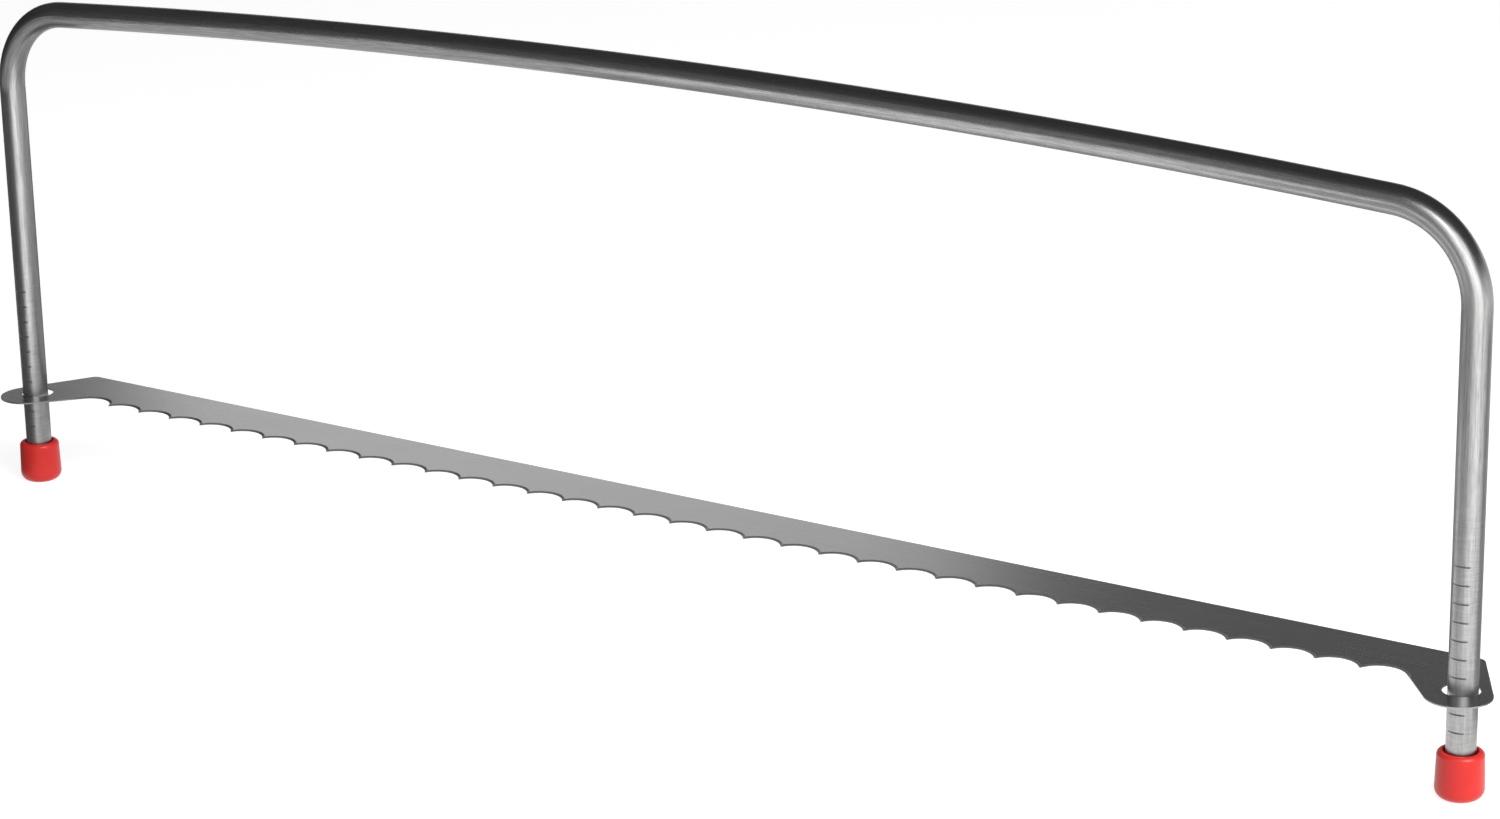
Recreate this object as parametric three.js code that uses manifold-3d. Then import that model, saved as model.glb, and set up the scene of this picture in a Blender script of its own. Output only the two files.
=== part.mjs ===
// Adjustable cake leveller: a bent steel bow, a serrated blade that slides on its legs, and two foot caps.
// Millimetres, +Z up. X runs along the blade, and the teeth face -Y.
import * as THREE from "three";
import { mergeVertices } from "three/addons/utils/BufferGeometryUtils.js";
import Module from "manifold-3d";

// Bow: one round steel tube, bent to two upright legs and a crowned handle bar
const legSpacing = 500;
const tubeDiameter = 8;
const tubeWall = 1.5;
const bendRadius = 25;
const crownRadius = 3500;
const crownHeight = 163;

// Foot caps, pushed over the ends of the legs
const capHeight = 13;
const capFloor = 3;
const capWall = 1.9;
const capFit = 0.3;
const capTaper = 0.4;
const capFootRound = 3;
const capRimRound = 1.2;
const capMouthFlare = 0.4;

// Blade: a flat strip with an eye at each end, worn over the legs
const bladeThickness = 0.4;
const bladeWidth = 21.5;
const toothLine = 2;
const backCornerInset = 4.5;
const backCornerRound = 1.5;
const eyeClearance = 0.3;
const eyePlay = 0.7;
const eyeRim = 4;
const eyeSeatAngle = THREE.MathUtils.degToRad(30);
const lobeForward = 3;
const flankSlope = THREE.MathUtils.degToRad(50);

// Serration: a row of scallops, each ground from above by a wheel
const toothMargin = 30;
const toothPitch = 13;
const scallopDepth = 3.5;
const gulletDepth = 4.5;
const tipFlat = 0.4;
const grindWidth = 0.8;
const edgeLand = 0.15;

// Height notches, sawn across the front of both legs
const notchCount = 10;
const notchPitch = 5;
const firstNotchGap = 6;
const bladeNotch = 3;
const notchDepth = 0.9;
const notchClearance = 0.1;

// Fineness of the round shapes, and how far a cutter runs past what it cuts
const tubeSides = 20;
const boreSides = 12;
const bendSteps = 9;
const halfBarSteps = 7;
const capSides = 28;
const roundSteps = 4;
const scallopSteps = 8;
const gulletSteps = 10;
const lobeSteps = 7;
const eyeSteps = 16;
const wheelSides = 36;
const overrun = 0.2;

// Sizes that follow from those above
const legX = legSpacing / 2;
const tubeRadius = tubeDiameter / 2;
const crownAngle = Math.asin((legX - bendRadius) / (crownRadius - bendRadius));
const bendStart = crownHeight - crownRadius * (1 - Math.cos(crownAngle)) - bendRadius * Math.cos(crownAngle);
const legEnd = capFloor + capFit;
const lowestNotch = capHeight + firstNotchGap;
const bladeHeight = lowestNotch + (bladeNotch - 1) * notchPitch;
const eyeRadius = tubeRadius + eyeClearance + eyePlay;
const lobeRadius = eyeRadius + eyeRim;
const backLine = toothLine + bladeWidth;
const toothCount = Math.round((legSpacing - 2 * toothMargin) / toothPitch);
const toothStep = (legSpacing - 2 * toothMargin) / toothCount;
const lastTip = legX - toothMargin;
const capRimRadius = tubeRadius + capFit + capWall;
const capFootRadius = capRimRadius + capTaper;

// Right eye: the leg stands off its centre, near its outer front, where the blade's pull seats it
const eye = new THREE.Vector2(legX - eyePlay * Math.cos(eyeSeatAngle), eyePlay * Math.sin(eyeSeatAngle));

// Lobe round the right eye, set forward of the leg, and the direction square to its flank, out of the gullet
const lobe = new THREE.Vector2(legX, -lobeForward);
const acrossFlank = new THREE.Vector2(Math.sin(flankSlope), Math.cos(flankSlope));

// The leg axes lie on this line, which puts the middle of the footprint at the origin
const frontReach = Math.max(lobeForward + lobeRadius, capFootRadius);
const legLine = (frontReach - backLine) / 2;

const wasm = await Module();
wasm.setup();

// A closed mesh as a solid that can be cut
function solidOf(geometry) {
  geometry.deleteAttribute("normal");
  geometry.deleteAttribute("uv");
  const merged = mergeVertices(geometry);
  const vertProperties = new Float32Array(merged.attributes.position.array);
  const triVerts = new Uint32Array(merged.index.array);
  return new wasm.Manifold(new wasm.Mesh({ numProp: 3, vertProperties, triVerts }));
}

// A cut solid as a mesh again
function geometryOf(solid) {
  const mesh = solid.getMesh();
  const geometry = new THREE.BufferGeometry();
  geometry.setAttribute("position", new THREE.BufferAttribute(mesh.vertProperties, 3));
  geometry.setIndex(new THREE.BufferAttribute(mesh.triVerts, 1));
  geometry.computeVertexNormals();
  return geometry;
}

// Points on an arc, from one angle to another
function arcPoints(centre, radius, from, to, steps) {
  const points = [];
  for (let i = 0; i <= steps; i += 1) {
    const angle = from + ((to - from) * i) / steps;
    points.push(new THREE.Vector2(centre.x + radius * Math.cos(angle), centre.y + radius * Math.sin(angle)));
  }
  return points;
}

// The tube's axis: leg, bend and half of the handle bar, then their mirror image.
// Its steps are short in the bends and long on the straight runs.
class BowCurve extends THREE.Curve {
  getUtoTmapping(u) {
    return u;
  }

  getPoint(t, target = new THREE.Vector3()) {
    const halfSteps = 1 + bendSteps + halfBarSteps;
    const step = 2 * halfSteps * t;
    const side = step < halfSteps ? -1 : 1;
    const [inset, height] = this.halfPoint(Math.min(step, 2 * halfSteps - step));
    return target.set(side * (legX - inset), 0, height);
  }

  // How far in from the leg's axis, and how high, the axis lies after so many steps
  halfPoint(step) {
    if (step < 1) {
      return [0, legEnd + (bendStart - legEnd) * step];
    }
    if (step < 1 + bendSteps) {
      const turn = ((Math.PI / 2 - crownAngle) * (step - 1)) / bendSteps;
      return [bendRadius * (1 - Math.cos(turn)), bendStart + bendRadius * Math.sin(turn)];
    }
    const lean = crownAngle * (1 - (step - 1 - bendSteps) / halfBarSteps);
    return [legX - crownRadius * Math.sin(lean), crownHeight - crownRadius * (1 - Math.cos(lean))];
  }
}

// Bow: a ring swept along the axis, with a saw cut for each notch
function bowGeometry() {
  const axis = new THREE.Vector2();
  const skin = arcPoints(axis, tubeRadius, 0, 2 * Math.PI, tubeSides);
  const bore = arcPoints(axis, tubeRadius - tubeWall, 0, -2 * Math.PI, boreSides);
  const section = new THREE.Shape(skin.slice(1));
  section.holes.push(new THREE.Path(bore.slice(1)));
  const steps = 2 * (1 + bendSteps + halfBarSteps);
  let bow = solidOf(new THREE.ExtrudeGeometry(section, { steps, extrudePath: new BowCurve() }));
  const notchWidth = bladeThickness + notchClearance;
  for (const side of [-1, 1]) {
    for (let i = 0; i < notchCount; i += 1) {
      const saw = new THREE.BoxGeometry(tubeDiameter, notchDepth + overrun, notchWidth);
      const sawY = notchDepth - tubeRadius - (notchDepth + overrun) / 2;
      saw.translate(side * legX, sawY, lowestNotch + i * notchPitch);
      bow = bow.subtract(solidOf(saw));
    }
  }
  return geometryOf(bow);
}

// End gullet: the arc that starts at the last tip, is as deep as gulletDepth and runs into the lobe's flank.
// The reach from the tip to its centre is the root of a quadratic.
function gulletArc() {
  const tip = new THREE.Vector2(lastTip + tipFlat / 2, toothLine);
  const square = (1 - acrossFlank.y) / (2 * gulletDepth);
  const gap = acrossFlank.dot(lobe.clone().sub(tip)) - lobeRadius - (gulletDepth * (1 + acrossFlank.y)) / 2;
  const reach = (Math.sqrt(acrossFlank.x ** 2 + 4 * square * gap) - acrossFlank.x) / (2 * square);
  const radius = (reach ** 2 + gulletDepth ** 2) / (2 * gulletDepth);
  const centre = new THREE.Vector2(tip.x + reach, toothLine + gulletDepth - radius);
  return { centre, radius };
}

// Scallops: equal arcs between the tips, each as deep as scallopDepth
function scallopArcs() {
  const chord = toothStep - tipFlat;
  const radius = (chord ** 2 / 4 + scallopDepth ** 2) / (2 * scallopDepth);
  const arcs = [];
  for (let i = 0; i < toothCount; i += 1) {
    const middle = -lastTip + (i + 0.5) * toothStep;
    arcs.push({ centre: new THREE.Vector2(middle, toothLine + scallopDepth - radius), radius });
  }
  return arcs;
}

// Right end of the outline: from the last tip round the gullet and the lobe, by its flank, to the back edge
function endOutline(gullet) {
  const start = Math.atan2(toothLine - gullet.centre.y, lastTip + tipFlat / 2 - gullet.centre.x);
  const meet = acrossFlank.angle();
  const corner = new THREE.Vector2(legX - backCornerInset, backLine);
  const towards = corner.clone().sub(lobe);
  const leave = towards.angle() - Math.acos(lobeRadius / towards.length());
  const front = -Math.PI / 2;
  const outline = arcPoints(gullet.centre, gullet.radius, start, meet, gulletSteps);
  outline.push(...arcPoints(lobe, lobeRadius, meet - Math.PI, front, lobeSteps));
  outline.push(...arcPoints(lobe, lobeRadius, front, leave, 2 * lobeSteps).slice(1));
  const slope = outline[outline.length - 1].clone().sub(corner).setLength(backCornerRound).add(corner);
  const level = new THREE.Vector2(corner.x - backCornerRound, corner.y);
  outline.push(...new THREE.QuadraticBezierCurve(slope, corner, level).getPoints(roundSteps));
  return outline;
}

// Grinding wheel: a cone that leaves a thin land at the underside and its full grind at the top
function wheelSolid(arc) {
  const flare = grindWidth / (bladeThickness - edgeLand);
  const height = bladeThickness + 2 * overrun;
  const lower = arc.radius - flare * (edgeLand + overrun);
  const wheel = new THREE.CylinderGeometry(lower + flare * height, lower, height, wheelSides);
  wheel.rotateX(Math.PI / 2);
  wheel.translate(arc.centre.x, arc.centre.y, 0);
  return solidOf(wheel);
}

// Blade: the punched outline, then the grind on every scallop and both gullets
function bladeGeometry() {
  const gullet = gulletArc();
  const scallops = scallopArcs();
  const rightEnd = endOutline(gullet);
  const leftEnd = rightEnd.map((point) => new THREE.Vector2(-point.x, point.y)).reverse();
  const outline = [...leftEnd];
  for (const { centre, radius } of scallops) {
    const rise = Math.atan2(toothLine - centre.y, (toothStep - tipFlat) / 2);
    outline.push(...arcPoints(centre, radius, Math.PI - rise, rise, scallopSteps));
  }
  outline.push(...rightEnd);
  const shape = new THREE.Shape(outline);
  for (const side of [-1, 1]) {
    const hole = arcPoints(new THREE.Vector2(side * eye.x, eye.y), eyeRadius, 0, -2 * Math.PI, 2 * eyeSteps);
    shape.holes.push(new THREE.Path(hole.slice(1)));
  }
  const strip = new THREE.ExtrudeGeometry(shape, { depth: bladeThickness, bevelEnabled: false });
  strip.translate(0, 0, -bladeThickness / 2);
  let blade = solidOf(strip);
  const farGullet = { centre: new THREE.Vector2(-gullet.centre.x, gullet.centre.y), radius: gullet.radius };
  for (const arc of [farGullet, ...scallops, gullet]) {
    blade = blade.subtract(wheelSolid(arc));
  }
  return geometryOf(blade);
}

// Foot cap: a cup with a rounded foot, a slight taper and a flared mouth
function capGeometry() {
  const quarter = Math.PI / 2;
  const foot = new THREE.Vector2(capFootRadius - capFootRound, capFootRound);
  const rim = new THREE.Vector2(capRimRadius - capRimRound, capHeight - capRimRound);
  const socket = tubeRadius + capFit;
  const profile = [
    new THREE.Vector2(0, 0),
    ...arcPoints(foot, capFootRound, -quarter, 0, roundSteps),
    ...arcPoints(rim, capRimRound, 0, quarter, roundSteps),
    new THREE.Vector2(socket + capMouthFlare, capHeight),
    new THREE.Vector2(socket, capHeight - capRimRound),
    new THREE.Vector2(socket, capFloor),
    new THREE.Vector2(0, capFloor),
  ];
  return new THREE.LatheGeometry(profile, capSides).rotateX(quarter);
}

// Satin steel of the bow, the finer finish of the blade, and the caps' red soft vinyl
const bowSteel = new THREE.MeshStandardMaterial({ color: 0xb2b3b4, roughness: 0.35, metalness: 1 });
const bladeSteel = new THREE.MeshStandardMaterial({ color: 0x9c9d9e, roughness: 0.4, metalness: 1 });
const capVinyl = new THREE.MeshStandardMaterial({ color: 0xd8302c, roughness: 0.5, metalness: 0 });

const leveller = new THREE.Group();
leveller.position.y = legLine;

const bow = new THREE.Mesh(bowGeometry(), bowSteel);
bow.name = "bow_frame";
leveller.add(bow);

const blade = new THREE.Mesh(bladeGeometry(), bladeSteel);
blade.name = "serrated_blade";
blade.position.z = bladeHeight;
leveller.add(blade);

for (const [name, side] of [["left_foot_cap", -1], ["right_foot_cap", 1]]) {
  const cap = new THREE.Mesh(capGeometry(), capVinyl);
  cap.name = name;
  cap.position.x = side * legX;
  leveller.add(cap);
}

export default leveller;
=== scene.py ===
import math

import bmesh
import bpy
from mathutils import Matrix, Vector


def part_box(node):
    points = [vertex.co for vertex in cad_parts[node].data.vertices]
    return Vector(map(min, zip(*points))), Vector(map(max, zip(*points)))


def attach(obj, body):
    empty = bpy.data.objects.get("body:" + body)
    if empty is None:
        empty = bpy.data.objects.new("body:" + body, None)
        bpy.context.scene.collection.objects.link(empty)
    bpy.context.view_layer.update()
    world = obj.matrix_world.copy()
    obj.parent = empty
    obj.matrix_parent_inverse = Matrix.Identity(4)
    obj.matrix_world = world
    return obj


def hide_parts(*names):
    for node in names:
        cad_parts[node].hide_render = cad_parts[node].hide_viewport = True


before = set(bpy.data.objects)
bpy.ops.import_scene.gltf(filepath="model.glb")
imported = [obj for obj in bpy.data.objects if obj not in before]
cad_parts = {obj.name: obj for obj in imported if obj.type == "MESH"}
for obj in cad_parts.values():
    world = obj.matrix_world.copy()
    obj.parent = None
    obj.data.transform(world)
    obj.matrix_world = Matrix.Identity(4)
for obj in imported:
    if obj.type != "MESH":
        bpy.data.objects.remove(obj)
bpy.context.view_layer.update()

# An adjustable cake leveller: a notched steel bow, a serrated blade that slides on its legs, and two red
# foot caps. Metres. X runs along the blade, the teeth face -Y and +Z is up.
MM = 0.001
UP = Vector((0, 0, 1))

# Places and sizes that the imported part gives
cap_low, cap_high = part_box("right_foot_cap")
bow_low, bow_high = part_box("bow_frame")
blade_low, blade_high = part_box("serrated_blade")
LEG_X = (cap_low.x + cap_high.x) / 2
LEG_Y = (cap_low.y + cap_high.y) / 2
LEG_END = bow_low.z
TUBE_RADIUS = (bow_high.y - bow_low.y) / 2
CROWN_HEIGHT = bow_high.z - TUBE_RADIUS
CAP_HEIGHT = cap_high.z
CAP_FOOT_RADIUS = (cap_high.x - cap_low.x) / 2
BLADE_UNDERSIDE = blade_low.z
BLADE_MIDDLE = (blade_low.z + blade_high.z) / 2
BLADE_THICKNESS = blade_high.z - blade_low.z
BACK_LINE = blade_high.y

# Bow
TUBE_WALL = 1.5 * MM
BEND_RADIUS = 25 * MM
CROWN_RADIUS = 3500 * MM
CROWN_ANGLE = math.asin((LEG_X - BEND_RADIUS) / (CROWN_RADIUS - BEND_RADIUS))
CROWN_CENTRE = Vector((0, LEG_Y, CROWN_HEIGHT - CROWN_RADIUS))
TO_LEFT_BEND = Vector((-math.sin(CROWN_ANGLE), 0, math.cos(CROWN_ANGLE)))
BEND_CENTRE = CROWN_CENTRE + (CROWN_RADIUS - BEND_RADIUS) * TO_LEFT_BEND
BEND_ANGLE = math.pi / 2 - CROWN_ANGLE
BEND_LENGTH = BEND_RADIUS * BEND_ANGLE
HALF_BAR = CROWN_RADIUS * CROWN_ANGLE

# Notches
NOTCH_COUNT = 10
NOTCH_PITCH = 5 * MM
NOTCH_ABOVE_CAP = 6 * MM
NOTCH_LEVELS = [CAP_HEIGHT + NOTCH_ABOVE_CAP + i * NOTCH_PITCH for i in range(NOTCH_COUNT)]
NOTCH_PLAY = 0.1 * MM
NOTCH_WIDTH = BLADE_THICKNESS + NOTCH_PLAY
NOTCH_DEPTH = 0.9 * MM

# Wear that the blade's eyes leave on the legs: it begins a pitch above the top notch, and fades out upwards
WEAR_BEGIN = HALF_BAR + BEND_LENGTH + BEND_CENTRE.z - NOTCH_LEVELS[-1] - NOTCH_PITCH
WEAR_FADE = 20 * MM

# Blade
TOOTH_SETBACK = 2 * MM
TOOTH_LINE = LEG_Y + TOOTH_SETBACK
TOOTH_MARGIN = 30 * MM
TOOTH_COUNT = 34
TOOTH_STEP = 2 * (LEG_X - TOOTH_MARGIN) / TOOTH_COUNT
TIP_FLAT = 0.4 * MM
SCALLOP_DEPTH = 3.5 * MM
GULLET_DEPTH = 4.5 * MM
GULLET_START = LEG_X - TOOTH_MARGIN + TIP_FLAT / 2
GRIND_WIDTH = 0.8 * MM
EDGE_LAND = 0.15 * MM
WHEEL_OVERRUN = 0.2 * MM
EYE_CLEARANCE = 1 * MM
EYE_RADIUS = TUBE_RADIUS + EYE_CLEARANCE
EYE_PLAY = 0.7 * MM
EYE_SEAT = math.radians(30)
EYE = Vector((LEG_X - EYE_PLAY * math.cos(EYE_SEAT), LEG_Y + EYE_PLAY * math.sin(EYE_SEAT), 0))
LOBE_WALL = 4 * MM
LOBE_RADIUS = EYE_RADIUS + LOBE_WALL
LOBE_FORWARD = 3 * MM
LOBE = Vector((LEG_X, LEG_Y - LOBE_FORWARD, 0))
FLANK_SLOPE = math.radians(50)
ACROSS_FLANK = Vector((math.sin(FLANK_SLOPE), math.cos(FLANK_SLOPE), 0))
BACK_CORNER_INSET = 4.5 * MM
BACK_CORNER_ROUND = 1.5 * MM

# Foot caps
CAP_TAPER = 0.4 * MM
CAP_FLOOR = 3 * MM
CAP_CLEARANCE = 0.3 * MM
CAP_SOCKET = TUBE_RADIUS + CAP_CLEARANCE
CAP_MOUTH_FLARE = 0.4 * MM
CAP_FOOT_ROUND = 3 * MM
CAP_RIM_ROUND = 1.2 * MM

# How finely the meshes are drawn
TUBE_SIDES = 64
BEND_STEPS = 24
HALF_BAR_STEPS = 20
SCALLOP_STEPS = 20
GULLET_STEPS = 24
LOBE_STEPS = 48
BACK_CORNER_STEPS = 6
EYE_SIDES = 72
WHEEL_SIDES = 96
CAP_SIDES = 96
CAP_FOOT_STEPS = 10
CAP_RIM_STEPS = 8
SHARP_ANGLE = math.radians(8)
MERGE_DISTANCE = 0.001 * MM
LEVEL_TOLERANCE = 0.01 * MM

# Upright share of a face's normal: a face of the blade between these two was ground by a wheel
STEEPEST_GRIND = 0.2
FLATTEST_GRIND = 0.98

# Camera: the photographed legs, blade and bar settle its place, turn and lens. Lens and sensor in mm
CAMERA_PLACE = Vector((642.8 * MM, LEG_Y - 885 * MM, 407 * MM))
CAMERA_YAW = math.radians(34.68)
CAMERA_PITCH = math.radians(17.44)
CAMERA_ROLL = math.radians(-1.10)
CAMERA_LENS = 96
CAMERA_SENSOR = 36

# Studio: half the floor's width, the key lamp's place, and the levels of the stripe lamps and flat cards
FLOOR_REACH = 15
KEY_PLACE = (1.12, -0.42, 0.85)
LEG_MIDDLE = 80 * MM
UNDER_BAR = 132 * MM
UNDER_BEND = 128 * MM
ON_PAPER = 1 * MM


def linear(hex_colour):
    """An sRGB hex colour as linear red, green, blue and alpha."""
    values = [int(hex_colour[i:i + 2], 16) / 255 for i in (1, 3, 5)]
    return [v / 12.92 if v <= 0.04045 else ((v + 0.055) / 1.055) ** 2.4 for v in values] + [1]


def add_node(tree, kind, inputs=(), **settings):
    """A node with its settings; each input gets a value, or a link from another node's output."""
    node = tree.nodes.new(kind)
    for name, value in settings.items():
        setattr(node, name, value)
    for name, value in dict(inputs).items():
        if isinstance(value, bpy.types.NodeSocket):
            tree.links.new(value, node.inputs[name])
        else:
            node.inputs[name].default_value = value
    return node


def new_material(name):
    """An empty node material, its tree and its output."""
    material = bpy.data.materials.new(name)
    material.use_nodes = True
    material.node_tree.nodes.clear()
    output = add_node(material.node_tree, "ShaderNodeOutputMaterial")
    return material, material.node_tree, output


def marks(tree, place, size, detail=2, roughness=0.5):
    """A pattern of soft marks that have this length along each of the three axes of a place."""
    per_metre = [1 / length for length in size]
    spread = add_node(tree, "ShaderNodeVectorMath", {0: place, 1: per_metre}, operation="MULTIPLY")
    noise = add_node(tree, "ShaderNodeTexNoise",
                     {"Vector": spread.outputs[0], "Scale": 1, "Detail": detail, "Roughness": roughness})
    return noise.outputs["Fac"]


def drawn_tube_steel():
    """Stainless tube, drawn and brushed along its length: a satin gloss in fine lengthwise streaks.

    The hand has polished the bar. The legs are duller, and the sliding eyes have left faint scratches
    across their streaks. Real streaks and scratches are a few hundredths of a millimetre wide. They are
    drawn coarser, so that they show.
    """
    material, tree, output = new_material("drawn_stainless_tube")
    place = add_node(tree, "ShaderNodeAttribute", attribute_name="tube_place").outputs["Vector"]
    streaks = marks(tree, place, (30 * MM, 0.45 * MM, 0.45 * MM), detail=4, roughness=0.65)
    grain = marks(tree, place, (6 * MM, 0.5 * MM, 0.5 * MM), detail=4, roughness=0.65)
    scratches = marks(tree, place, (0.35 * MM, 5 * MM, 5 * MM), detail=4, roughness=0.65)
    along = add_node(tree, "ShaderNodeSeparateXYZ", {"Vector": place})
    from_middle = add_node(tree, "ShaderNodeMath", {0: along.outputs["X"]}, operation="ABSOLUTE")
    worn = add_node(tree, "ShaderNodeMapRange",
                    {"Value": from_middle.outputs[0], "From Min": WEAR_BEGIN - WEAR_FADE,
                     "From Max": WEAR_BEGIN, "To Max": 0.35})
    drawn = add_node(tree, "ShaderNodeMix", {"Factor": 0.5, "A": streaks, "B": grain})
    surface = add_node(tree, "ShaderNodeMix",
                       {"Factor": worn.outputs["Result"], "A": drawn.outputs["Result"], "B": scratches})
    contrast = add_node(tree, "ShaderNodeMapRange",
                        {"Value": surface.outputs["Result"], "From Min": 0.32, "From Max": 0.68})
    tone = add_node(tree, "ShaderNodeMix",
                    {"Factor": contrast.outputs["Result"], "A": linear("#858686"), "B": linear("#bebebd")},
                    data_type="RGBA")
    polish = add_node(tree, "ShaderNodeMapRange",
                      {"Value": contrast.outputs["Result"], "To Min": 0.33, "To Max": 0.23})
    dulled = add_node(tree, "ShaderNodeMapRange",
                      {"Value": from_middle.outputs[0], "From Min": HALF_BAR,
                       "From Max": HALF_BAR + BEND_LENGTH, "To Max": 0.06})
    gloss = add_node(tree, "ShaderNodeMath", {0: polish.outputs["Result"], 1: dulled.outputs["Result"]})
    relief = add_node(tree, "ShaderNodeBump", {"Height": grain, "Strength": 0.3, "Distance": 0.1 * MM})
    steel = add_node(tree, "ShaderNodeBsdfPrincipled",
                     {"Base Color": tone.outputs["Result"], "Metallic": 1, "Roughness": gloss.outputs[0],
                      "Normal": relief.outputs["Normal"]})
    tree.links.new(steel.outputs["BSDF"], output.inputs["Surface"])
    return material


def sawn_steel():
    """The same steel where a saw has cut it: bare and matt, scored along the cut. Its lighter tone is partly
    the bare cut and partly painted light, which lifts the shade inside the narrow notches.
    """
    material, tree, output = new_material("sawn_steel")
    place = add_node(tree, "ShaderNodeTexCoord").outputs["Object"]
    scores = marks(tree, place, (3 * MM, 0.2 * MM, 0.1 * MM))
    # Lighter than the tube: partly bare cut steel, partly painted light against the shade in the notches
    tone = add_node(tree, "ShaderNodeMix",
                    {"Factor": scores, "A": linear("#acacaa"), "B": linear("#c4c4c2")}, data_type="RGBA")
    steel = add_node(tree, "ShaderNodeBsdfPrincipled",
                     {"Base Color": tone.outputs["Result"], "Metallic": 1, "Roughness": 0.55})
    tree.links.new(steel.outputs["BSDF"], output.inputs["Surface"])
    return material


def rolled_strip_steel():
    """Rolled spring steel, satin polished along the strip: an even grey sheen with faint long lines.

    Real polishing lines are finer. They are drawn coarser, so that they show.
    """
    material, tree, output = new_material("rolled_spring_steel")
    place = add_node(tree, "ShaderNodeTexCoord").outputs["Object"]
    lines = marks(tree, place, (60 * MM, 0.6 * MM, 0.6 * MM), detail=3, roughness=0.55)
    cloud = marks(tree, place, (25 * MM, 25 * MM, 25 * MM))
    tone = add_node(tree, "ShaderNodeMix",
                    {"Factor": cloud, "A": linear("#a3a4a4"), "B": linear("#aeaeae")}, data_type="RGBA")
    gloss = add_node(tree, "ShaderNodeMapRange",
                     {"Value": lines, "From Min": 0.3, "From Max": 0.7, "To Min": 0.255, "To Max": 0.275})
    steel = add_node(tree, "ShaderNodeBsdfPrincipled",
                     {"Base Color": tone.outputs["Result"], "Metallic": 1,
                      "Roughness": gloss.outputs["Result"]})
    tree.links.new(steel.outputs["BSDF"], output.inputs["Surface"])
    return material


def ground_edge_steel():
    """The wheel-ground edge: grinding lines square to it, duller and a little darker than the strip.

    Real grinding lines are finer. They are drawn coarser, so that they show.
    """
    material, tree, output = new_material("ground_spring_steel")
    place = add_node(tree, "ShaderNodeTexCoord").outputs["Object"]
    lines = marks(tree, place, (0.3 * MM, 2 * MM, 2 * MM))
    tone = add_node(tree, "ShaderNodeMix",
                    {"Factor": lines, "A": linear("#6f7070"), "B": linear("#868686")}, data_type="RGBA")
    steel = add_node(tree, "ShaderNodeBsdfPrincipled",
                     {"Base Color": tone.outputs["Result"], "Metallic": 1, "Roughness": 0.33})
    tree.links.new(steel.outputs["BSDF"], output.inputs["Surface"])
    return material


def dipped_vinyl():
    """Soft PVC, dip moulded: smooth red with a half gloss and a faint unevenness in colour and skin."""
    material, tree, output = new_material("soft_pvc")
    place = add_node(tree, "ShaderNodeTexCoord").outputs["Object"]
    cloud = marks(tree, place, (6 * MM, 6 * MM, 6 * MM), detail=3)
    tone = add_node(tree, "ShaderNodeMix",
                    {"Factor": cloud, "A": linear("#ee2a25"), "B": linear("#fa3731")}, data_type="RGBA")
    skin = marks(tree, place, (0.8 * MM, 0.8 * MM, 0.8 * MM))
    relief = add_node(tree, "ShaderNodeBump", {"Height": skin, "Strength": 0.12, "Distance": 0.05 * MM})
    vinyl = add_node(tree, "ShaderNodeBsdfPrincipled",
                     {"Base Color": tone.outputs["Result"], "Roughness": 0.35, "IOR": 1.53,
                      "Normal": relief.outputs["Normal"]})
    tree.links.new(vinyl.outputs["BSDF"], output.inputs["Surface"])
    return material


def white_paper():
    """Matt white paper. It glows white to the eye and in reflections, and still takes a soft shadow."""
    material, tree, output = new_material("white_paper")
    rays = add_node(tree, "ShaderNodeLightPath")
    mirrored_or_clear = add_node(tree, "ShaderNodeMath",
                                 {0: rays.outputs["Is Glossy Ray"], 1: rays.outputs["Is Transmission Ray"]},
                                 operation="MAXIMUM")
    seen = add_node(tree, "ShaderNodeMath",
                    {0: rays.outputs["Is Camera Ray"], 1: mirrored_or_clear.outputs[0]},
                    operation="MAXIMUM")
    lift = add_node(tree, "ShaderNodeMath", {0: seen.outputs[0], 1: 0.84}, operation="MULTIPLY")
    paper = add_node(tree, "ShaderNodeBsdfDiffuse", {"Color": linear("#d4d4d4")})
    glow = add_node(tree, "ShaderNodeEmission", {"Strength": lift.outputs[0]})
    both = add_node(tree, "ShaderNodeAddShader", {0: paper.outputs[0], 1: glow.outputs[0]})
    tree.links.new(both.outputs[0], output.inputs["Surface"])
    return material


def new_object(name, bm):
    """A finished bmesh as an object in the scene."""
    mesh = bpy.data.meshes.new(name)
    bm.to_mesh(mesh)
    bm.free()
    item = bpy.data.objects.new(name, mesh)
    bpy.context.scene.collection.objects.link(item)
    return item


def make_piece(name, bm, materials, body, node):
    """A finished bmesh as a piece that stands for a node of the part and moves with its body."""
    for face in bm.faces:
        face.smooth = True
    piece = new_object(name, bm)
    piece.data.set_sharp_from_angle(angle=SHARP_ANGLE)
    for material in materials:
        piece.data.materials.append(material)
    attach(piece, body)
    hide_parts(node)
    return piece


def only(kind, geom):
    """The items of one kind among mixed vertices, edges and faces."""
    return [item for item in geom if isinstance(item, kind)]


def close_up(bm):
    """Merges doubles and turns all faces outwards."""
    bmesh.ops.remove_doubles(bm, verts=bm.verts, dist=MERGE_DISTANCE)
    bmesh.ops.recalc_face_normals(bm, faces=bm.faces)


def mirror_half(bm):
    """Completes a left or right half across the middle of the blade."""
    everything = bm.verts[:] + bm.edges[:] + bm.faces[:]
    bmesh.ops.mirror(bm, geom=everything, axis="X", merge_dist=MERGE_DISTANCE)


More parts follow.
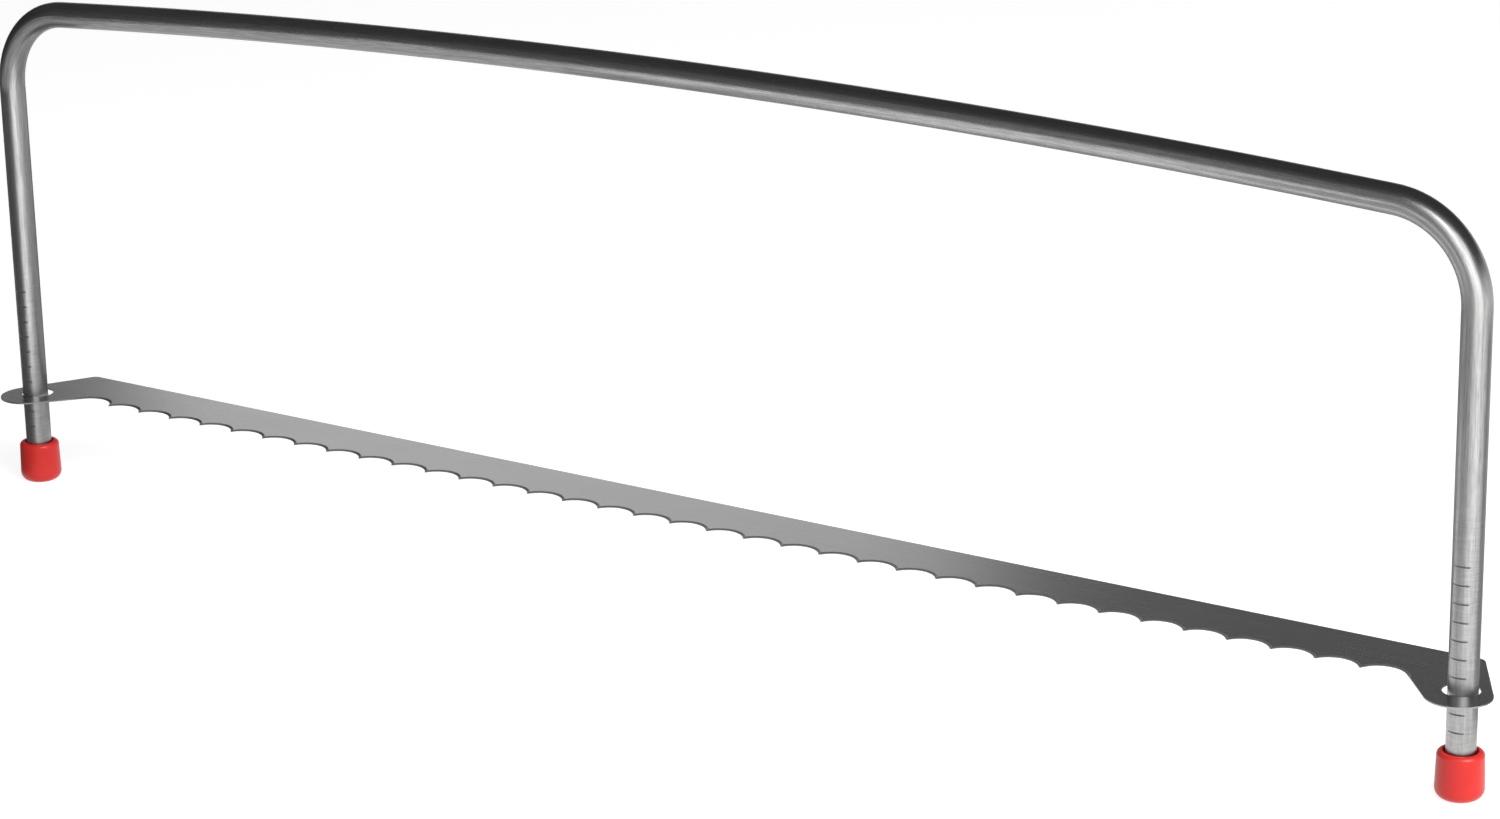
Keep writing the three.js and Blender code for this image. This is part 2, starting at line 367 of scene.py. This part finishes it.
def sweep_half_tube(bm, radius, levels):
    """Sweeps a ring up the left leg through the levels, round the bend and along half of the bar."""
    foot = Matrix.Translation((-LEG_X, LEG_Y, LEG_END))
    ring = bmesh.ops.create_circle(bm, segments=TUBE_SIDES, radius=radius, matrix=foot)["verts"]
    edges = list({edge for vert in ring for edge in vert.link_edges})
    for level in levels + [BEND_CENTRE.z]:
        grown = bmesh.ops.extrude_edge_only(bm, edges=edges)["geom"]
        edges = only(bmesh.types.BMEdge, grown)
        for vert in {vert for edge in edges for vert in edge.verts}:
            vert.co.z = level
    bend = (BEND_CENTRE, BEND_ANGLE, BEND_STEPS)
    half_bar = (CROWN_CENTRE, CROWN_ANGLE, HALF_BAR_STEPS)
    for centre, angle, steps in (bend, half_bar):
        spun = bmesh.ops.spin(bm, geom=edges, cent=centre, axis=(0, 1, 0), angle=angle, steps=steps)
        edges = only(bmesh.types.BMEdge, spun["geom_last"])


def saw_notches(bm):
    """Sinks the front of the tube to a flat across each notch."""
    flat = LEG_Y - TUBE_RADIUS + NOTCH_DEPTH
    for level in NOTCH_LEVELS:
        band = [face for face in bm.faces if abs(face.calc_center_median().z - level) < NOTCH_WIDTH / 4]
        front = [face for face in band if max(vert.co.y for vert in face.verts) < flat]
        sunk = bmesh.ops.extrude_face_region(bm, geom=front)["geom"]
        bmesh.ops.delete(bm, geom=front, context="FACES")
        for vert in only(bmesh.types.BMVert, sunk):
            vert.co.y = flat
            for face in vert.link_faces:
                face.material_index = 1


def tube_place(point):
    """A point's place on the straightened tube: along it from the middle of the bar, outwards and across."""
    from_bend = Vector((-abs(point.x), point.z)) - BEND_CENTRE.xz
    from_crown = Vector((point.x, point.z)) - CROWN_CENTRE.xz
    lean = math.atan2(abs(from_crown.x), from_crown.y)
    if from_bend.y <= 0:
        along = HALF_BAR + BEND_LENGTH - from_bend.y
        outwards = abs(point.x) - LEG_X
    elif lean > CROWN_ANGLE:
        along = HALF_BAR + BEND_RADIUS * from_bend.angle(TO_LEFT_BEND.xz)
        outwards = from_bend.length - BEND_RADIUS
    else:
        along = CROWN_RADIUS * lean
        outwards = from_crown.length - CROWN_RADIUS
    return math.copysign(along, point.x), outwards, point.y - LEG_Y


def build_bow():
    """The bow: a tube with its bore, bent to two legs and a crowned bar, with sawn notches."""
    bm = bmesh.new()
    notch_sides = [level + side * NOTCH_WIDTH / 2 for level in NOTCH_LEVELS for side in (-1, 1)]
    sweep_half_tube(bm, TUBE_RADIUS, notch_sides)
    saw_notches(bm)
    sweep_half_tube(bm, TUBE_RADIUS - TUBE_WALL, [])
    low = {vert for vert in bm.verts if abs(vert.co.z - LEG_END) < LEVEL_TOLERANCE}
    bmesh.ops.bridge_loops(bm, edges=[edge for edge in bm.edges if low.issuperset(edge.verts)])
    mirror_half(bm)
    close_up(bm)
    piece = make_piece("bow_tube", bm, [drawn_tube_steel(), sawn_steel()], "bow", "bow_frame")
    places = piece.data.attributes.new("tube_place", "FLOAT_VECTOR", "POINT")
    for vert in piece.data.vertices:
        places.data[vert.index].vector = tube_place(vert.co)
    return piece


def arc_edges(bm, start, centre, angle, steps):
    """Sweeps a vertex round a centre, leaving edges behind it, and gives the last vertex."""
    swept = bmesh.ops.spin(bm, geom=[start], cent=centre, axis=UP, angle=angle, steps=steps)
    return only(bmesh.types.BMVert, swept["geom_last"])[0]


def scallop_arc():
    """Radius of a scallop, and how far its centre lies in front of the tooth line."""
    half = (TOOTH_STEP - TIP_FLAT) / 2
    radius = (half ** 2 + SCALLOP_DEPTH ** 2) / (2 * SCALLOP_DEPTH)
    return radius, radius - SCALLOP_DEPTH


def gullet_arc():
    """Centre and radius of the end gullet, which leads from the last tip into the lobe's straight flank."""
    tip = Vector((GULLET_START, TOOTH_LINE, 0))
    # The arc touches the flank where square * reach ** 2 + ACROSS_FLANK.x * reach equals gap
    square = (1 - ACROSS_FLANK.y) / (2 * GULLET_DEPTH)
    gap = ACROSS_FLANK.dot(LOBE - tip) - LOBE_RADIUS - GULLET_DEPTH * (1 + ACROSS_FLANK.y) / 2
    reach = (math.sqrt(ACROSS_FLANK.x ** 2 + 4 * square * gap) - ACROSS_FLANK.x) / (2 * square)
    radius = (reach ** 2 + GULLET_DEPTH ** 2) / (2 * GULLET_DEPTH)
    return Vector((tip.x + reach, TOOTH_LINE + GULLET_DEPTH - radius, 0)), radius


def draw_half_outline(bm):
    """Draws the right half of the blade as edges: scallops, gullet, flank, lobe, corner, back and eye."""
    radius, ahead = scallop_arc()
    half_sweep = math.acos(ahead / radius)
    last = bm.verts.new((0, TOOTH_LINE, 0))
    for i in range(TOOTH_COUNT // 2):
        start = bm.verts.new((i * TOOTH_STEP + TIP_FLAT / 2, TOOTH_LINE, 0))
        bm.edges.new((last, start))
        centre = Vector(((i + 0.5) * TOOTH_STEP, TOOTH_LINE - ahead, 0))
        last = arc_edges(bm, start, centre, -2 * half_sweep, SCALLOP_STEPS)
    centre, radius = gullet_arc()
    start = bm.verts.new((GULLET_START, TOOTH_LINE, 0))
    bm.edges.new((last, start))
    meet = math.pi / 2 - FLANK_SLOPE
    begin = math.atan2(TOOTH_LINE - centre.y, start.co.x - centre.x)
    last = arc_edges(bm, start, centre, meet - begin, GULLET_STEPS)
    start = bm.verts.new(LOBE - LOBE_RADIUS * ACROSS_FLANK)
    bm.edges.new((last, start))
    corner = bm.verts.new((LEG_X - BACK_CORNER_INSET, BACK_LINE, 0))
    to_corner = corner.co - LOBE
    leave = math.atan2(to_corner.y, to_corner.x) - math.acos(LOBE_RADIUS / to_corner.length)
    last = arc_edges(bm, start, LOBE, leave - (meet - math.pi), LOBE_STEPS)
    bm.edges.new((last, corner))
    bm.edges.new((corner, bm.verts.new((0, BACK_LINE, 0))))
    bmesh.ops.bevel(bm, geom=[corner], offset=BACK_CORNER_ROUND, offset_type="OFFSET",
                    segments=BACK_CORNER_STEPS, profile=0.5, affect="VERTICES", material=-1)
    bmesh.ops.create_circle(bm, segments=EYE_SIDES, radius=EYE_RADIUS, matrix=Matrix.Translation(EYE))


def grinding_wheels():
    """Cones, one at each scallop and gullet: what the wheel takes off the upper side of the edge."""
    bm = bmesh.new()
    scallop_radius, ahead = scallop_arc()
    gullet_centre, gullet_radius = gullet_arc()
    arcs = [(Vector((side * gullet_centre.x, gullet_centre.y, 0)), gullet_radius) for side in (-1, 1)]
    for i in range(TOOTH_COUNT):
        middle = (i + 0.5 - TOOTH_COUNT / 2) * TOOTH_STEP
        arcs.append((Vector((middle, TOOTH_LINE - ahead, 0)), scallop_radius))
    flare = GRIND_WIDTH / (BLADE_THICKNESS - EDGE_LAND)
    height = BLADE_THICKNESS + 2 * WHEEL_OVERRUN
    for centre, radius in arcs:
        lower = radius - flare * (EDGE_LAND + WHEEL_OVERRUN)
        place = Matrix.Translation(centre + UP * BLADE_MIDDLE)
        bmesh.ops.create_cone(bm, cap_ends=True, segments=WHEEL_SIDES, radius1=lower,
                              radius2=lower + flare * height, depth=height, matrix=place)
    return new_object("grinding_wheels", bm)


def build_blade():
    """The blade: a strip punched to its outline, with its teeth ground from above."""
    bm = bmesh.new()
    draw_half_outline(bm)
    mirror_half(bm)
    bmesh.ops.triangle_fill(bm, edges=bm.edges, use_beauty=True, normal=UP)
    skin = bmesh.ops.extrude_face_region(bm, geom=bm.faces[:], use_keep_orig=True)["geom"]
    bmesh.ops.translate(bm, verts=only(bmesh.types.BMVert, skin), vec=UP * BLADE_THICKNESS)
    bmesh.ops.translate(bm, verts=bm.verts, vec=UP * BLADE_UNDERSIDE)
    close_up(bm)
    blank = new_object("blank", bm)
    wheels = grinding_wheels()
    grind = blank.modifiers.new("grind", "BOOLEAN")
    grind.object = wheels
    grind.operation = "DIFFERENCE"
    grind.solver = "EXACT"
    grind.use_self = True
    ground = bmesh.new()
    ground.from_object(blank, bpy.context.evaluated_depsgraph_get())
    for item in (blank, wheels):
        bpy.data.objects.remove(item)
    close_up(ground)
    for face in ground.faces:
        face.material_index = int(STEEPEST_GRIND < face.normal.z < FLATTEST_GRIND)
    steels = [rolled_strip_steel(), ground_edge_steel()]
    return make_piece("blade_strip", ground, steels, "blade", "serrated_blade")


def build_cap(name, node, x, vinyl):
    """A foot cap: its profile, with rounded corners, spun round the leg's axis."""
    bm = bmesh.new()
    outside = [(0, 0), (CAP_FOOT_RADIUS, 0), (CAP_FOOT_RADIUS - CAP_TAPER, CAP_HEIGHT)]
    mouth = [(CAP_SOCKET + CAP_MOUTH_FLARE, CAP_HEIGHT), (CAP_SOCKET, CAP_HEIGHT - CAP_RIM_ROUND)]
    socket = [(CAP_SOCKET, CAP_FLOOR), (0, CAP_FLOOR)]
    verts = [bm.verts.new((x + out, LEG_Y, height)) for out, height in outside + mouth + socket]
    for first, second in zip(verts, verts[1:]):
        bm.edges.new((first, second))
    foot = (verts[1], CAP_FOOT_ROUND, CAP_FOOT_STEPS)
    rim = (verts[2], CAP_RIM_ROUND, CAP_RIM_STEPS)
    for vert, size, steps in (foot, rim):
        bmesh.ops.bevel(bm, geom=[vert], offset=size, offset_type="OFFSET", segments=steps, profile=0.5,
                        affect="VERTICES", material=-1)
    bmesh.ops.spin(bm, geom=bm.edges[:], cent=(x, LEG_Y, 0), axis=UP, angle=2 * math.pi, steps=CAP_SIDES,
                   use_merge=True)
    close_up(bm)
    return make_piece(name, bm, [vinyl], "bow", node)


def build_floor():
    """A sheet of paper under the tool."""
    bm = bmesh.new()
    bmesh.ops.create_grid(bm, x_segments=1, y_segments=1, size=FLOOR_REACH)
    floor = new_object("floor", bm)
    floor.data.materials.append(white_paper())


def build_studio():
    """The air of the studio: white round the horizon, as the paper is, and dim overhead.

    The height of a direction is the sine of its angle above the horizon. Matt surfaces get less than half
    of this light, because the lamps light them.
    """
    world = bpy.data.worlds.new("studio")
    bpy.context.scene.world = world
    world.use_nodes = True
    tree = world.node_tree
    tree.nodes.clear()
    place = add_node(tree, "ShaderNodeTexCoord")
    height = add_node(tree, "ShaderNodeSeparateXYZ", {"Vector": place.outputs["Generated"]})
    level = add_node(tree, "ShaderNodeMapRange",
                     {"Value": height.outputs["Z"], "From Min": 0.12, "From Max": 0.28, "To Min": 1,
                      "To Max": 0.06}, interpolation_type="SMOOTHSTEP")
    rays = add_node(tree, "ShaderNodeLightPath")
    share = add_node(tree, "ShaderNodeMapRange",
                     {"Value": rays.outputs["Is Diffuse Ray"], "To Min": 1, "To Max": 0.45})
    strength = add_node(tree, "ShaderNodeMath",
                        {0: level.outputs["Result"], 1: share.outputs["Result"]}, operation="MULTIPLY")
    air = add_node(tree, "ShaderNodeBackground", {"Color": (1, 1, 1, 1), "Strength": strength.outputs[0]})
    output = add_node(tree, "ShaderNodeOutputWorld")
    tree.links.new(air.outputs[0], output.inputs["Surface"])


def add_softbox(name, place, target, size, watts, mirrored=True, glint_on=()):
    """A rectangular softbox that faces a point, out of the camera's sight.

    With glint_on it lights these pieces only, and only as a glint.
    """
    light = bpy.data.lights.new(name, "AREA")
    light.shape = "RECTANGLE"
    light.size, light.size_y = size
    light.energy = watts
    lamp = bpy.data.objects.new(name, light)
    lamp.location = place
    lamp.rotation_euler = (Vector(target) - Vector(place)).to_track_quat("-Z", "Y").to_euler()
    lamp.visible_camera = False
    lamp.visible_glossy = mirrored
    if glint_on:
        lamp.visible_diffuse = False
        lamp.light_linking.receiver_collection = bpy.data.collections.new(name)
    for piece in glint_on:
        lamp.light_linking.receiver_collection.objects.link(piece)
    bpy.context.scene.collection.objects.link(lamp)


def light_tool(bow, blade, caps):
    """The key and the fill, then the glints: the blade's sheen, the bow's bend and legs, the caps' rims."""
    add_softbox("key_right", KEY_PLACE, (0.1, 0, 0.05), (1.2, 1.2), 18, mirrored=False)
    add_softbox("fill_front", (0.7, -1.9, 1.6), (0, 0, 0.05), (0.9, 0.8), 5)
    add_softbox("sheen_behind", (-0.7825, 0.963, 0.43), (-0.1, 0, 0.03), (0.518, 0.4), 0.5, glint_on=[blade])
    add_softbox("sheen_overhead", (0, 0, 1.3), (0, 0, 0), (3.2, 3.2), 16, glint_on=[blade])
    add_softbox("bend_glint", (0.9, -1.5, 0.75), (0.24, 0, 0.15), (2, 1.4), 22, glint_on=[bow])
    left_leg = (-LEG_X, LEG_Y, LEG_MIDDLE)
    right_leg = (LEG_X, LEG_Y, LEG_MIDDLE)
    add_softbox("stripe_left", (-0.165, -0.1085, LEG_MIDDLE), left_leg, (0.083, 0.16), 0.042, glint_on=[bow])
    add_softbox("stripe_right", (0.355, -0.089, LEG_MIDDLE), right_leg, (0.084, 0.16), 0.021, glint_on=[bow])
    add_softbox("rim_glint", KEY_PLACE, (0.1, 0, 0.01), (0.5, 0.5), 9, glint_on=caps)


def add_reflection_card(name, start, end, sweep, brightness):
    """A glowing card beside the tool, swept from one of its edges. It glows at a fixed brightness though it
    is no lamp, and only reflections see it: a painted reflection in the steel.
    """
    bm = bmesh.new()
    edge = bm.edges.new((bm.verts.new(start), bm.verts.new(end)))
    grown = bmesh.ops.extrude_edge_only(bm, edges=[edge])["geom"]
    bmesh.ops.translate(bm, verts=only(bmesh.types.BMVert, grown), vec=sweep)
    card = new_object(name, bm)
    material, tree, output = new_material(name)
    glow = add_node(tree, "ShaderNodeEmission", {"Strength": brightness})
    tree.links.new(glow.outputs[0], output.inputs["Surface"])
    card.data.materials.append(material)
    # Not seen by the camera, lighting nothing and casting no shadow: the glow shows only as a painted
    # reflection
    card.visible_camera = False
    card.visible_diffuse = False
    card.visible_shadow = False


def set_reflection_cards():
    """Glowing dark and grey cards that paint dark and grey reflections into the tube: some stand beside the
    tool, and some lie under it.
    """
    # Each card is a painted reflection: the dark ones paint the tube's dark sides, the grey ones its lighter
    # bands
    add_reflection_card("dark_back", (-0.7, -0.4, 0), (-0.7, 0.35, 0), (0, 0, 0.35), 0.03)
    add_reflection_card("dark_left", (-0.33, 0, 0), (-0.22, -0.16, 0), (0, 0, 0.13), 0.12)
    add_reflection_card("dark_left_foot", (-0.3, 0.05, ON_PAPER), (-0.204, -0.095, ON_PAPER), (-0.12, -0.06, 0), 0.12)
    add_reflection_card("grey_right", (0.122, -0.063, 0), (0.26, -0.146, 0), (0, 0, 0.105), 0.55)
    add_reflection_card("grey_right_edge", (0.305, 0.013, 0), (0.275, 0.06, 0), (0, 0, 0.115), 0.45)
    add_reflection_card("dark_front", (-1.5, -0.7, 0), (-0.4, -0.7, 0), (0, 0, 0.7), 0.1)
    add_reflection_card("grey_under_bar", (-0.235, -0.1, UNDER_BAR), (-0.05, -0.1, UNDER_BAR), (0, 0.13, 0), 0.7)
    for name, front, depth in (("grey_before_bend", -0.06, 0.042), ("grey_behind_bend", 0.003, 0.045)):
        add_reflection_card(name, (-0.275, front, UNDER_BEND), (-0.235, front, UNDER_BEND), (0, depth, 0), 0.55)
    add_reflection_card("grey_front", (-0.4, -0.7, 0), (0.3, -0.7, 0), (0, 0, 0.7), 0.25)
    add_reflection_card("grey_floor_left", (-1, -0.65, ON_PAPER), (-0.27, -0.65, ON_PAPER), (0, 0.51, 0), 0.62)
    add_reflection_card("grey_floor", (-0.22, -0.12, ON_PAPER), (-0.05, -0.12, ON_PAPER), (0, 0.15, 0), 0.6)
    add_reflection_card("dark_floor_left", (-1.2, 0.04, ON_PAPER), (-0.27, 0.04, ON_PAPER), (0, 0.6, 0), 0.06)
    add_reflection_card("grey_floor_back", (-0.27, 0.04, ON_PAPER), (0.3, 0.04, ON_PAPER), (0, 0.6, 0), 0.45)


def build_camera():
    """The camera, at the photograph's viewing angle."""
    camera = bpy.data.cameras.new("camera")
    camera.lens = CAMERA_LENS
    camera.sensor_width = CAMERA_SENSOR
    holder = bpy.data.objects.new("camera", camera)
    turn = Matrix.Rotation(CAMERA_YAW, 4, "Z") @ Matrix.Rotation(math.pi / 2 - CAMERA_PITCH, 4, "X")
    holder.matrix_world = Matrix.Translation(CAMERA_PLACE) @ turn @ Matrix.Rotation(CAMERA_ROLL, 4, "Z")
    bpy.context.scene.collection.objects.link(holder)
    bpy.context.scene.camera = holder


bow = build_bow()
blade = build_blade()
red_vinyl = dipped_vinyl()
left_cap = build_cap("left_cap", "left_foot_cap", -LEG_X, red_vinyl)
right_cap = build_cap("right_cap", "right_foot_cap", LEG_X, red_vinyl)

build_floor()
build_studio()
light_tool(bow, blade, [left_cap, right_cap])
set_reflection_cards()
build_camera()

bpy.context.scene.view_settings.view_transform = "Standard"
